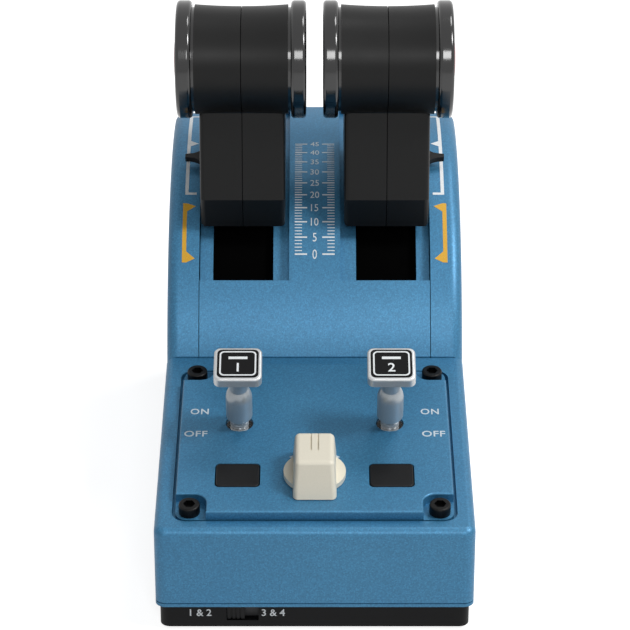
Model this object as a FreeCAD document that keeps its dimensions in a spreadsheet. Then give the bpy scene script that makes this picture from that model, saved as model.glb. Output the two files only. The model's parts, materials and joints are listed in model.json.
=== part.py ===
"""Desktop throttle quadrant: a sloping engine panel in front of a curved quadrant with two levers.

Frame: origin at the bottom centre, +X to the user's right, +Y away from the user, +Z up, millimetres.
The levers turn about one shaft along X.  Items on the sloping deck are drawn in the deck's own
directions (across, up the slope, out of the surface) and placed on it.
"""
import FreeCAD, Part
import Sketcher
import math
import os

doc = FreeCAD.newDocument("throttle_quadrant")
LEFT, RIGHT = -1, 1
SIDES = {"left": LEFT, "right": RIGHT}

# ---------------------------------------------------------------- driving dimensions
DIMENSIONS = {
    # housing
    "body_width": 120.0, "body_depth": 224.0, "foot_height": 1.5, "base_height": 9.5,
    "base_inset": 1.6, "wall": 3.0, "front_height": 32.9, "deck_slope": 8.65,
    "edge_round": 3.0, "seam": 0.3, "running_gap": 0.3, "lip_height": 1.3, "lip_depth": 0.4,
    # quadrant
    "pivot_inset": 13.2, "pivot_height": 20.6, "crown_radius": 108.0, "apron_angle": 22.1,
    "strip_half": 10.4, "cheek_width": 12.9, "cheek_drop": 4.0, "cheek_round": 4.5,
    "track_depth": 5.0, "track_start": 38.6, "track_end": 96.0, "back_round": 9.0,
    "slot_half": 12.3, "slot_end": 94.0, "column_offset": 0.45,
    # levers
    "lever_angle": 68.9, "grip_rise": 56.4, "grip_diameter": 43.9, "grip_waist": 42.4,
    "grip_width": 37.3, "ring_diameter": 47.1, "ring_width": 6.1, "ring_groove": 1.1,
    "cap_diameter": 40.4, "cap_seat": 3.0, "barrel_outer": 28.0, "barrel_inner": 24.0,
    "arm_half": 17.2, "arm_lift": 1.0, "arm_front": 34.7, "arm_back": 17.5, "shoulder_rise": 10.4,
    "arm_top_rise": 41.0, "arm_top_front": 15.2, "shell_wall": 2.2, "half_gap": 0.15,
    "stem_half": 7.0, "stem_depth": 10.0, "nib_reach": 7.3, "nib_root": 10.4, "nib_tip": 2.8,
    "nib_thick": 2.4, "shutter_front": 30.0, "shutter_back": 7.0, "shutter_gap": 1.0,
    "shutter_thick": 1.6, "button_diameter": 16.0, "button_proud": 1.5, "button_travel": 1.5,
    "button_switch_end": 13.0,
    # pivot
    "shaft_diameter": 8.0, "shaft_clearance": 0.05, "hub_diameter": 18.0, "hub_inboard": 11.2,
    "hub_outboard": 9.4, "bush_flange": 1.2, "bush_wall": 1.5, "bush_length": 7.0,
    "magnet_diameter": 17.2, "magnet_thick": 1.5, "ear_reach": 13.1, "ear_thick": 1.8,
    "ear_round": 8.0, "frame_front": 15.2, "frame_back": 8.2, "frame_thick": 2.0,
    "middle_ear": 3.0, "detent_reach": 19.2, "detent_thick": 3.0, "detent_radius": 34.0,
    "detent_end": 100.0, "roller_radius": 36.3, "spacer_diameter": 14.0,
    # engine panel
    "panel_margin": 7.8, "panel_gap": 1.3, "panel_start": 6.6, "panel_end_margin": 9.5,
    "panel_corner": 4.5, "panel_rise": 4.0, "panel_seat": 2.5, "pocket_across": 11.6,
    "pocket_along": 10.9, "pocket_round": 5.0, "hatch_side": 10.6, "hatch_end": 10.9, "hatch_margin": 2.854,
    "screw_side": 5.3, "screw_end": 4.8, "screw_head": 8.0, "screw_shank": 4.0,
    "screw_head_height": 4.0, "screw_length": 10.0, "board_depth": 12.4, "board_thick": 1.6,
    # toggles
    "toggle_place": 0.5795, "toggle_hole": 10.8, "toggle_lean": 12.0, "bat_waist": 7.3,
    "bat_diameter": 10.2, "bat_neck": 7.0, "bat_length": 30.0, "cap_across": 18.3,
    "cap_along": 16.9, "cap_thick": 4.0, "cap_round": 2.6,
    # rotary switch
    "rotary_place": 0.2312, "disc_diameter": 23.6, "disc_thick": 2.0, "bar_half_length": 15.4,
    "bar_top_half": 9.3, "bar_width": 16.4, "bar_top_width": 14.8, "bar_height": 13.3,
    "bar_groove": 0.6, "groove_pitch": 1.35, "groove_length": 7.0, "rotary_shaft": 6.0,
    # push buttons
    "key_place": 0.2312, "key_across": 16.5, "key_deep": 13.9, "key_corner": 1.6, "key_proud": 0.3, "key_travel": 1.2,
    "key_flange": 1.4,
    # slide switch in the base strip
    "slide_across": -27.2, "slide_bottom": 4.2, "slide_travel": 5.0, "slide_knob": 6.5,
    # fasteners, feet and the controller's board
    "foot_side": 13.5, "foot_end": 14.0, "foot_diameter": 12.0, "base_screw_side": 8.0,
    "base_screw_end": 32.0, "mount_across": 70.0, "mount_along": 130.0, "mount_hole": 4.0,
    "controller_back": 45.0, "controller_width": 56.0, "controller_length": 60.0,
    "controller_lift": 4.0,
}


class Size:
    """A number in millimetres or degrees, with the spreadsheet expression that gives it."""

    def __init__(self, number, text):
        self.number = float(number)
        self.text = text

    def __add__(self, other):
        other = as_size(other)
        return Size(self.number + other.number, f"({self.text} + {other.text})")

    def __sub__(self, other):
        other = as_size(other)
        return Size(self.number - other.number, f"({self.text} - {other.text})")

    def __mul__(self, other):
        other = as_size(other)
        return Size(self.number * other.number, f"({self.text} * {other.text})")

    def __truediv__(self, other):
        other = as_size(other)
        return Size(self.number / other.number, f"({self.text} / {other.text})")

    def __radd__(self, other):
        return as_size(other) + self

    def __rsub__(self, other):
        return as_size(other) - self

    def __rmul__(self, other):
        return as_size(other) * self

    def __neg__(self):
        return as_size(0) - self


def as_size(value):
    return value if isinstance(value, Size) else Size(value, repr(float(value)))


def sine(angle):
    angle = as_size(angle)
    return Size(math.sin(math.radians(angle.number)), f"sin({angle.text})")


def cosine(angle):
    angle = as_size(angle)
    return Size(math.cos(math.radians(angle.number)), f"cos({angle.text})")


def root(value):
    return Size(math.sqrt(value.number), f"sqrt({value.text})")


def write_sheet():
    """Put every driving dimension in the spreadsheet, one named cell each."""
    sheet = doc.addObject("Spreadsheet::Sheet", "Sizes")
    sizes = {}
    for row, (alias, number) in enumerate(DIMENSIONS.items(), start=1):
        sheet.set(f"A{row}", alias)
        sheet.set(f"B{row}", str(number))
        sheet.setAlias(f"B{row}", alias)
        sizes[alias] = Size(number, f"Sizes.{alias}")
    doc.recompute()
    return sizes


class Named:
    """The driving dimensions as attributes."""

    def __init__(self, sizes):
        self.__dict__.update(sizes)


D = Named(write_sheet())


# ---------------------------------------------------------------- drawing helpers
def bind(item, settings):
    for path, value in settings.items():
        item.setExpression(path, as_size(value).text)


def place(item, at=(0, 0, 0), axis=None, angle=0):
    """Place an object by expressions: a point, and a turn about one axis."""
    if axis is not None:
        item.Placement = FreeCAD.Placement(FreeCAD.Vector(), FreeCAD.Rotation(FreeCAD.Vector(axis), 1.0))
        bind(item, {"Placement.Rotation.Angle": angle})
    bind(item, {f"Placement.Base.{letter}": value for letter, value in zip("xyz", at)})
    return item


def new_body(label):
    body = doc.addObject("PartDesign::Body", label)
    body.Label = label
    return body


def draw(body, name, plane, corners, offset=0):
    """A closed sketch.  A corner is (a, b), or (a, b, radius, turn) when an arc leads to the next:
    turn is 1 for an arc that runs anticlockwise and -1 for one that runs clockwise."""
    sketch = body.newObject("Sketcher::SketchObject", name)
    support = [item for item in body.Origin.OriginFeatures if item.Role == plane][0]
    sketch.AttachmentSupport = (support, [""])
    sketch.MapMode = "FlatFace"
    bind(sketch, {"AttachmentOffset.Base.z": offset})
    corners = [tuple(as_size(value) for value in corner) for corner in corners]
    points = [FreeCAD.Vector(corner[0].number, corner[1].number, 0) for corner in corners]
    starts, ends, rules = [], [], []
    for index, corner in enumerate(corners):
        here, there = points[index], points[(index + 1) % len(points)]
        if len(corner) == 2:
            sketch.addGeometry(Part.LineSegment(here, there))
            starts.append(1)
            ends.append(2)
            continue
        radius, turn = corner[2], corner[3].number
        chord = there - here
        middle = (here + there) * 0.5
        normal = FreeCAD.Vector(-chord.y, chord.x, 0) * (turn / chord.Length)
        centre = middle + normal * math.sqrt(max(radius.number ** 2 - (chord.Length / 2) ** 2, 0))
        first, last = (here, there) if turn > 0 else (there, here)
        angles = [math.atan2(point.y - centre.y, point.x - centre.x) for point in (first, last)]
        circle = Part.Circle(centre, FreeCAD.Vector(0, 0, 1), radius.number)
        sketch.addGeometry(Part.ArcOfCircle(circle, angles[0], angles[1]))
        starts.append(1 if turn > 0 else 2)
        ends.append(2 if turn > 0 else 1)
        rules.append((f"bend{index}", radius, Sketcher.Constraint("Radius", index, radius.number)))
    for index, corner in enumerate(corners):
        follower = (index + 1) % len(corners)
        sketch.addConstraint(Sketcher.Constraint(
            "Coincident", index, ends[index], follower, starts[follower]))
        for letter, value in zip("XY", corner[:2]):
            rule = Sketcher.Constraint(
                f"Distance{letter}", -1, 1, index, starts[index], value.number)
            rules.append((f"corner{index}{letter}", value, rule))
    add_rules(sketch, rules)
    return sketch


def add_rules(sketch, rules):
    for name, value, rule in rules:
        number = sketch.addConstraint(rule)
        sketch.renameConstraint(number, name)
        sketch.setExpression(f"Constraints.{name}", value.text)


def draw_circles(body, name, plane, circles, offset=0):
    """A sketch of whole circles, each (a, b, radius)."""
    sketch = body.newObject("Sketcher::SketchObject", name)
    support = [item for item in body.Origin.OriginFeatures if item.Role == plane][0]
    sketch.AttachmentSupport = (support, [""])
    sketch.MapMode = "FlatFace"
    bind(sketch, {"AttachmentOffset.Base.z": offset})
    rules = []
    for index, circle in enumerate(circles):
        across, along, radius = (as_size(value) for value in circle)
        centre = FreeCAD.Vector(across.number, along.number, 0)
        sketch.addGeometry(Part.Circle(centre, FreeCAD.Vector(0, 0, 1), radius.number))
        rules += [
            (f"across{index}", across, Sketcher.Constraint("DistanceX", -1, 1, index, 3, across.number)),
            (f"along{index}", along, Sketcher.Constraint("DistanceY", -1, 1, index, 3, along.number)),
            (f"radius{index}", radius, Sketcher.Constraint("Radius", index, radius.number)),
        ]
    add_rules(sketch, rules)
    return sketch


def extrude(body, name, sketch, length, cut=False, backwards=False):
    """Pad or pocket a sketch along its plane's own normal, and see that the volume changed."""
    before = body.Shape.Volume if body.Tip else 0.0
    feature = body.newObject("PartDesign::Pocket" if cut else "PartDesign::Pad", name)
    feature.Profile = sketch
    bind(feature, {"Length": length})
    feature.Reversed = cut != backwards
    doc.recompute()
    change = feature.Shape.Volume - before
    if (change >= -1e-6) if cut else (change <= 1e-6):
        raise RuntimeError(f"{body.Label}: {name} changed nothing")
    return feature


def slab(body, name, plane, corners, low, high, cut=False):
    """Material, or a cut, with this outline between two heights along the plane's normal."""
    low, high = as_size(low), as_size(high)
    return extrude(body, name, draw(body, name + "_outline", plane, corners, low), high - low, cut)


def drill(body, name, plane, circles, low, high, cut=True):
    low, high = as_size(low), as_size(high)
    return extrude(body, name, draw_circles(body, name + "_circles", plane, circles, low), high - low, cut)


def revolve(body, name, plane, corners, axis, cut=False):
    sketch = draw(body, name + "_outline", plane, corners)
    kind = "PartDesign::Groove" if cut else "PartDesign::Revolution"
    feature = body.newObject(kind, name)
    feature.Profile = sketch
    feature.ReferenceAxis = (sketch, [axis])
    feature.Angle = 360
    doc.recompute()
    return feature


def soften(body, kind, name, size, picks):
    """Fillet or chamfer the edges that a test picks out."""
    doc.recompute()
    base = body.Tip
    names = [f"Edge{number}" for number, edge in enumerate(base.Shape.Edges, start=1) if picks(edge)]
    if not names:
        raise RuntimeError(f"{body.Label}: {name} found no edge")
    feature = body.newObject("PartDesign::" + kind, name)
    feature.Base = (base, names)
    bind(feature, {"Radius" if kind == "Fillet" else "Size": size})
    doc.recompute()
    return feature


def oblong(across, along, half_across, half_along):
    """Corners of a rectangle about a centre."""
    return [(across - half_across, along - half_along), (across + half_across, along - half_along),
            (across + half_across, along + half_along), (across - half_across, along + half_along)]


def rounded(across, along, half_across, half_along, radius):
    """Corners of a rectangle with round corners, drawn anticlockwise."""
    left, right = across - half_across, across + half_across
    low, high = along - half_along, along + half_along
    return [(left + radius, low), (right - radius, low, radius, 1),
            (right, low + radius), (right, high - radius, radius, 1),
            (right - radius, high), (left + radius, high, radius, 1),
            (left, high - radius), (left, low + radius, radius, 1)]


def cylinder(label, radius, length, at=(0, 0, 0), axis=None, angle=0):
    item = doc.addObject("Part::Cylinder", label)
    item.Label = label
    bind(item, {"Radius": radius, "Height": length})
    return place(item, at, axis, angle)


def joined(label, items):
    fused = doc.addObject("Part::MultiFuse", label)
    fused.Label = label
    fused.Shapes = items
    return fused


def grouped(label, items):
    """Separate like solids that share one node."""
    group = doc.addObject("Part::Compound", label)
    group.Label = label
    group.Links = items
    return group


def removed(label, base, tools):
    """A solid less one or more others."""
    difference = doc.addObject("Part::Cut", label)
    difference.Label = label
    difference.Base = base
    difference.Tool = tools[0] if len(tools) == 1 else joined(label + "_tools", tools)
    return difference


def on_deck(item, across=0, along=0, out=0, tilt=0):
    """Stand an object on the sloping deck; tilt leans it further towards the user."""
    along, out = as_size(along), as_size(out)
    back = FRONT + along * cosine(D.deck_slope) - out * sine(D.deck_slope)
    up = DECK_FRONT_Z + along * sine(D.deck_slope) + out * cosine(D.deck_slope)
    return place(item, (across, back, up), (1, 0, 0), D.deck_slope + tilt)


def on_lever(item, across=0):
    """Turn an object drawn upright about the pivot to the levers' stored angle."""
    return place(item, (across, PIVOT_Y, D.pivot_height), (1, 0, 0), 90 - D.lever_angle)


def runs_along(edge, direction):
    """True for a straight edge that runs along a direction."""
    if edge.Curve.TypeId != "Part::GeomLine":
        return False
    return abs(abs(edge.tangentAt(edge.FirstParameter).dot(FreeCAD.Vector(direction))) - 1) < 1e-4


# ---------------------------------------------------------------- places used by several pieces
HALF = D.body_width / 2
FRONT = -D.body_depth / 2
BACK = D.body_depth / 2
BASE_TOP = D.foot_height + D.base_height
FLOOR_TOP = D.foot_height + D.wall
FOOT_X, FOOT_Y = HALF - D.foot_side, BACK - D.foot_end
BASE_SCREW_X, BASE_SCREW_Y = HALF - D.base_screw_side, BACK - D.base_screw_end
SLIDE_WIDTH = D.slide_knob + D.slide_travel + D.running_gap * 2
# the quadrant's shaft, its covers and the columns of levers, toggles and push buttons
PIVOT_Y = BACK - D.pivot_inset
CHEEK_INNER = HALF - D.cheek_width
COLUMN = (D.strip_half + CHEEK_INNER) / 2 + D.column_offset
TRACK_RADIUS = D.crown_radius - D.track_depth
COVER_INNER = TRACK_RADIUS - D.wall
COVER_HALF = CHEEK_INNER - D.seam
HUB_INNER, HUB_OUTER = COLUMN - D.hub_inboard, COLUMN + D.hub_outboard
EAR_OUTER = COLUMN + D.ear_reach
BUSH_OUTER = D.shaft_diameter / 2 + D.shaft_clearance + D.bush_wall
DETENTS = (44.6, 56.0, D.lever_angle, 80.0)
# the deck runs back to the foot of the crown
DECK_FRONT_Z = BASE_TOP + D.front_height
DECK_END_Y = PIVOT_Y - D.crown_radius * cosine(D.apron_angle) - D.seam
DECK_LENGTH = (DECK_END_Y - FRONT) / cosine(D.deck_slope)
DECK_END_Z = DECK_FRONT_Z + DECK_LENGTH * sine(D.deck_slope)
# engine panel: places across and up the deck
PANEL_HALF, PANEL_END = HALF - D.panel_margin, DECK_LENGTH - D.panel_end_margin
PANEL_LENGTH, PANEL_MIDDLE = PANEL_END - D.panel_start, (PANEL_END + D.panel_start) / 2
PANEL_TOP = D.panel_rise
HATCH_HALF = PANEL_HALF - D.hatch_side
SCREW_X = PANEL_HALF - D.screw_side
SCREW_LOW, SCREW_HIGH = D.panel_start + D.screw_end, PANEL_END - D.screw_end
TOGGLE_ALONG = D.panel_start + PANEL_LENGTH * D.toggle_place
TOGGLE_BORE = D.bat_waist / 2 + D.shaft_clearance
ROTARY_ALONG = D.panel_start + PANEL_LENGTH * D.rotary_place
KEY_ALONG = D.panel_start + PANEL_LENGTH * D.key_place
# the opening under the panel clears the keys' flanges
HATCH_LOW = KEY_ALONG - D.key_deep / 2 - D.key_flange - D.hatch_margin
HATCH_HIGH = PANEL_END - D.hatch_end
HATCH_MIDDLE, HATCH_REACH = (HATCH_LOW + HATCH_HIGH) / 2, (HATCH_HIGH - HATCH_LOW) / 2
# levers, measured from the pivot
GRIP_REACH = D.crown_radius + D.grip_rise
ARM_SHOULDER, ARM_TOP = D.crown_radius + D.shoulder_rise, D.crown_radius + D.arm_top_rise
GRIP_END = D.grip_width / 2
RING_START = GRIP_END + D.ring_groove
RING_END = RING_START + D.ring_width


def ordered(first, second):
    """Two places along one direction, the lower one first."""
    first, second = as_size(first), as_size(second)
    return (first, second) if first.number < second.number else (second, first)


def polar(radius, angle):
    """A point (back, up) on a circle about the pivot; angles rise from the user's side."""
    return (PIVOT_Y - radius * cosine(angle), D.pivot_height + radius * sine(angle))


def sector(inner, outer, start, end):
    """A closed band between two radii and two angles about the pivot."""
    return [polar(outer, start) + (outer, -1), polar(outer, end),
            polar(inner, end) + (inner, 1), polar(inner, start)]


# ---------------------------------------------------------------- base
def base_tray():
    """Shallow black tray: floor, low walls, mounting bosses and the slide switch's window."""
    body = new_body("base_tray")
    half, deep = HALF - D.base_inset, BACK - D.base_inset
    slab(body, "block", "XY_Plane", rounded(0, 0, half, deep, 4), D.foot_height, BASE_TOP)
    slab(body, "hollow", "XY_Plane", rounded(0, 0, half - D.wall, deep - D.wall, 2), FLOOR_TOP,
         BASE_TOP, cut=True)
    bosses = [(side * D.mount_across / 2, end * D.mount_along / 2, D.mount_hole)
              for side in (-1, 1) for end in (-1, 1)]
    drill(body, "mount_bosses", "XY_Plane", bosses, FLOOR_TOP, BASE_TOP - 2, cut=False)
    drill(body, "mount_holes", "XY_Plane", [(a, b, D.mount_hole / 2) for a, b, _ in bosses],
          D.foot_height, BASE_TOP - 2, cut=True)
    posts = [(side * BASE_SCREW_X, end * BASE_SCREW_Y) for side in (-1, 1) for end in (-1, 1)]
    drill(body, "screw_holes", "XY_Plane", [(a, b, 1.6) for a, b in posts], D.foot_height, FLOOR_TOP)
    drill(body, "screw_head_pockets", "XY_Plane", [(a, b, 3.1) for a, b in posts], D.foot_height,
          D.foot_height + 1.8)
    window = oblong(D.slide_across, -deep + D.wall / 2, SLIDE_WIDTH / 2, D.wall / 2)
    slab(body, "switch_window", "XY_Plane", window, D.slide_bottom, BASE_TOP, cut=True)
    return body


def rubber_feet():
    feet = [cylinder(f"foot_{side}_{end}", D.foot_diameter / 2, D.foot_height,
                     (sign * FOOT_X, turn * FOOT_Y, 0))
            for side, sign in SIDES.items() for end, turn in (("front", -1), ("back", 1))]
    return grouped("rubber_feet", feet)


def base_screws():
    """Pan-head screws that go up through the tray into the housing's posts."""
    start = D.foot_height + 0.1
    posts = [(side * BASE_SCREW_X, end * BASE_SCREW_Y) for side in (-1, 1) for end in (-1, 1)]
    screws = []
    for number, (across, along) in enumerate(posts):
        head = cylinder(f"base_screw_head_{number}", 3.0, 1.7, (across, along, start))
        shank = cylinder(f"base_screw_shank_{number}", 1.5, 14, (across, along, start + 1.6))
        screws.append(joined(f"base_screw_{number}", [head, shank]))
    return grouped("base_screws", screws)


# ---------------------------------------------------------------- housing
def deck_housing():
    """The blue front half: upright face, sloping deck, a rim and ledge for the engine panel."""
    body = new_body("deck_housing_shell")
    outline = [(FRONT, BASE_TOP), (DECK_END_Y, BASE_TOP), (DECK_END_Y, DECK_END_Z), (FRONT, DECK_FRONT_Z)]
    slab(body, "block", "YZ_Plane", outline, -HALF, HALF)
    soften(body, "Fillet", "front_corners", 4, lambda edge: runs_along(edge, (0, 0, 1))
           and edge.CenterOfMass.y < FRONT.number + 1)
    soften(body, "Fillet", "deck_edges", D.edge_round, lambda edge: edge.CenterOfMass.z > DECK_FRONT_Z.number - 5
           and edge.CenterOfMass.y < DECK_END_Y.number - 1)
    top_drop = (D.panel_seat + D.wall) / cosine(D.deck_slope)
    inside = [(FRONT + D.wall, BASE_TOP), (DECK_END_Y - D.wall, BASE_TOP),
              (DECK_END_Y - D.wall, DECK_END_Z - top_drop), (FRONT + D.wall, DECK_FRONT_Z - top_drop)]
    slab(body, "hollow", "YZ_Plane", inside, -HALF + D.wall, HALF - D.wall, cut=True)
    seat = new_body("panel_recess")
    recess = rounded(0, PANEL_MIDDLE, PANEL_HALF + D.panel_gap, PANEL_LENGTH / 2 + D.panel_gap / 2,
                     D.panel_corner + D.panel_gap / 2)
    slab(seat, "recess", "XY_Plane", recess, -D.panel_seat, D.edge_round)
    slab(seat, "hatch", "XY_Plane", oblong(0, HATCH_MIDDLE, HATCH_HALF, HATCH_REACH), -15, 0)
    holes = [(side * SCREW_X, along, D.screw_shank / 2)
             for side in (-1, 1) for along in (SCREW_LOW, SCREW_HIGH)]
    posts = [on_deck(cylinder(f"panel_post_{number}", 4.2, 8), across, along, -(D.panel_seat + 8.5))
             for number, (across, along, _) in enumerate(holes)]
    bores = [on_deck(cylinder(f"panel_bore_{number}", radius, 12), across, along, -12)
             for number, (across, along, radius) in enumerate(holes)]
    columns = [cylinder(f"base_column_{side}", 3.3, 30, (sign * BASE_SCREW_X, -BASE_SCREW_Y,
                                                       FLOOR_TOP + 0.05))
               for side, sign in SIDES.items()]
    pilots = [cylinder(f"base_pilot_{side}", 1.5, 14, (sign * BASE_SCREW_X, -BASE_SCREW_Y,
                                                       FLOOR_TOP - 1))
              for side, sign in SIDES.items()]
    ties = [block(f"column_tie_{side}", 7, 3, 26, (sign * (HALF - 5.5) - 3.5, -BASE_SCREW_Y - 1.5,
                                                      BASE_TOP + 0.5))
            for side, sign in SIDES.items()]
    solid = joined("deck_housing_solid", [body] + posts + columns + ties)
    return removed("deck_housing", solid, [on_deck(seat), lip_groove("deck")] + bores + pilots)


def lip_groove(label):
    """The tool for the fine groove round the housing just above its bottom edge."""
    inner = new_body(f"{label}_lip_inside")
    inset = D.lip_depth
    slab(inner, "inside", "XY_Plane", rounded(0, 0, HALF - inset, BACK - inset, D.cheek_round - inset),
         BASE_TOP, BASE_TOP + D.lip_height + 1)
    low = BASE_TOP + D.lip_height
    around = block(f"{label}_lip_around", D.body_width + 2, D.body_depth + 2, D.lip_depth,
                   (-HALF - 1, FRONT - 1, low))
    return removed(f"{label}_lip_groove", around, [inner])


def block(label, across, along, height, at):
    item = doc.addObject("Part::Box", label)
    item.Label = label
    bind(item, {"Length": across, "Width": along, "Height": height})
    return place(item, at)


def crown_outline(radius, start_y, back, bottom, corner):
    """The quadrant's side outline: a foot, the crown's arc, a round back corner and the back wall."""
    start_z = D.pivot_height + root(radius * radius - (PIVOT_Y - start_y) * (PIVOT_Y - start_y))
    turn_y = back - corner
    turn_z = D.pivot_height + root(radius * radius - (turn_y - PIVOT_Y) * (turn_y - PIVOT_Y))
    return [(start_y, bottom), (start_y, start_z, radius, -1), (turn_y, turn_z, corner, -1),
            (back, turn_z - corner), (back, bottom)]


def quadrant_cover():
    """The curved blue cover between the cheeks: apron, centre strip and two slotted lever tracks."""
    body = new_body("quadrant_cover")
    start = DECK_END_Y + D.seam
    slab(body, "block", "YZ_Plane", crown_outline(D.crown_radius, start, BACK, BASE_TOP, D.back_round),
         -COVER_HALF, COVER_HALF)
    inside = crown_outline(COVER_INNER, start + D.wall, BACK - D.wall, BASE_TOP, D.back_round - 4)
    slab(body, "hollow", "YZ_Plane", inside, -COVER_HALF + D.wall, COVER_HALF - D.wall, cut=True)
    track = sector(TRACK_RADIUS, D.crown_radius + 8, D.track_start, D.track_end)
    opening = sector(COVER_INNER - 3, TRACK_RADIUS + 3, D.track_start, D.slot_end)
    for side, sign in SIDES.items():
        edges = ordered(D.strip_half * sign, (COVER_HALF + 1) * sign)
        slab(body, f"{side}_track", "YZ_Plane", track, edges[0], edges[1], cut=True)
        centre = COLUMN * sign
        slab(body, f"{side}_slot", "YZ_Plane", opening, centre - D.slot_half, centre + D.slot_half, cut=True)
    window = oblong(0, BASE_TOP + 12, 6.2, 4.2)
    window_body = new_body("inlet_window")
    slab(window_body, "hole", "XY_Plane", window, 0, 12)
    place(window_body, (0, BACK + 4, 0), (1, 0, 0), 90)
    body.Label = "quadrant_cover_shell"
    return removed("quadrant_cover", body, [window_body, lip_groove("quadrant")])


def cheek_outline(inset=0):
    """A cheek's side outline; its arc stays flush with the apron and drops behind the crown."""
    radius = D.crown_radius - D.cheek_drop - inset
    centre_y = PIVOT_Y - D.cheek_drop * cosine(20)
    centre_z = D.pivot_height + D.cheek_drop * sine(20)
    start_y = DECK_END_Y + D.seam + inset
    corner = D.back_round
    start_z = centre_z + root(radius * radius - (centre_y - start_y) * (centre_y - start_y))
    turn_y = BACK - inset - corner
    turn_z = centre_z + root(radius * radius - (turn_y - centre_y) * (turn_y - centre_y))
    return [(start_y, BASE_TOP), (start_y, start_z, radius, -1), (turn_y, turn_z, corner, -1),
            (BACK - inset, turn_z - corner), (BACK - inset, BASE_TOP)]


def cheek(side, sign):
    """A thick side panel with a round outer edge, hollow towards the quadrant."""
    body = new_body(f"{side}_cheek_shell")
    inner, outer = ordered(CHEEK_INNER * sign, HALF * sign)
    slab(body, "block", "YZ_Plane", cheek_outline(), inner, outer)
    face = (HALF * sign).number
    soften(body, "Fillet", "outer_edge", D.cheek_round, lambda edge: abs(edge.CenterOfMass.x - face) < 0.01
           and edge.CenterOfMass.z > BASE_TOP.number + 1 and edge.CenterOfMass.y > DECK_END_Y.number + 2)
    low, high = ordered(CHEEK_INNER * sign, (HALF - D.wall) * sign)
    slab(body, "hollow", "YZ_Plane", cheek_outline(D.wall), low, high, cut=True)
    middle = (CHEEK_INNER + HALF) / 2
    column = cylinder(f"{side}_cheek_column", 3.3, 30, (BASE_SCREW_X * sign, BASE_SCREW_Y,
                                                      FLOOR_TOP + 0.05))
    web = block(f"{side}_cheek_web", 6, 3, 26, (middle * sign - 1 if sign > 0 else middle * sign - 5,
                                                   BASE_SCREW_Y - 1.5, BASE_TOP + 0.5))
    pilot = cylinder(f"{side}_cheek_pilot", 1.5, 14, (BASE_SCREW_X * sign, BASE_SCREW_Y,
                                                      FLOOR_TOP - 1))
    solid = joined(f"{side}_cheek_solid", [body, column, web])
    return removed(f"{side}_cheek", solid, [pilot, lip_groove(side)])


# ---------------------------------------------------------------- engine panel
def engine_panel():
    """The inset panel: a seated plate, a raised field with notched corners, and its openings."""
    body = new_body("engine_panel")
    slab(body, "plate", "XY_Plane", rounded(0, PANEL_MIDDLE, PANEL_HALF, PANEL_LENGTH / 2, D.panel_corner),
         -D.panel_seat, 0)
    left, right = -PANEL_HALF, PANEL_HALF
    low, high = D.panel_start, PANEL_END
    a, b, r = D.pocket_across, D.pocket_along, D.pocket_round
    field = [
        (left + a, low), (right - a, low), (right - a, low + b - r, r, -1), (right - a + r, low + b),
        (right, low + b), (right, high - b), (right - a + r, high - b, r, -1), (right - a, high - b + r),
        (right - a, high), (left + a, high), (left + a, high - b + r, r, -1), (left + a - r, high - b),
        (left, high - b), (left, low + b), (left + a - r, low + b, r, -1), (left + a, low + b - r)]
    slab(body, "field", "XY_Plane", field, 0, PANEL_TOP)
    soften(body, "Fillet", "field_edge", 0.7, lambda edge: edge.BoundBox.ZMin > PANEL_TOP.number - 0.01)
    holes = [(side * SCREW_X, along, D.screw_shank / 2 + 0.2)
             for side in (-1, 1) for along in (SCREW_LOW, SCREW_HIGH)]
    holes += [(side * COLUMN, TOGGLE_ALONG, D.toggle_hole / 2) for side in (-1, 1)]
    holes += [(0, ROTARY_ALONG, D.rotary_shaft / 2 + 0.05)]
    drill(body, "holes", "XY_Plane", holes, -D.panel_seat, PANEL_TOP)
    for side, sign in SIDES.items():
        window = rounded(sign * COLUMN, KEY_ALONG, D.key_across / 2 + 0.35, D.key_deep / 2 + 0.35, D.key_corner + 0.35)
        slab(body, f"{side}_key_window", "XY_Plane", window, -D.panel_seat, PANEL_TOP, cut=True)
    return on_deck(body)


def panel_screws():
    """Cap screws with hexagon sockets, one in each corner pocket."""
    screws = []
    spots = [(side * SCREW_X, along) for side in (-1, 1) for along in (SCREW_LOW, SCREW_HIGH)]
    for number, (across, along) in enumerate(spots):
        body = new_body(f"panel_screw_{number}")
        drill(body, "head", "XY_Plane", [(0, 0, D.screw_head / 2)], 0, D.screw_head_height, cut=False)
        soften(body, "Fillet", "head_edge", 0.6,
               lambda edge: edge.BoundBox.ZMin > D.screw_head_height.number - 0.01)
        drill(body, "shank", "XY_Plane", [(0, 0, D.screw_shank / 2)], -10, 0, cut=False)
        flat = D.screw_head / 4
        hexagon = [(flat * cosine(60 * turn) * 1.15, flat * sine(60 * turn) * 1.15) for turn in range(6)]
        slab(body, "socket", "XY_Plane", hexagon, D.screw_head_height - 2.2, D.screw_head_height, cut=True)
        screws.append(on_deck(body, across, along))
    return grouped("panel_screws", screws)


def panel_board():
    """The circuit board under the engine panel, with the stand-off posts that it hangs from."""
    body = new_body("panel_board")
    slab(body, "board", "XY_Plane", oblong(0, HATCH_MIDDLE, HATCH_HALF - 2, HATCH_REACH - 2),
         -D.board_depth - D.board_thick, -D.board_depth)
    posts = [(side * (HATCH_HALF - 5), along, 2.5) for side in (-1, 1)
             for along in (KEY_ALONG + D.key_deep, HATCH_HIGH - 5)]
    drill(body, "posts", "XY_Plane", posts, -D.board_depth, -D.panel_seat, cut=False)
    return on_deck(body)


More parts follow.
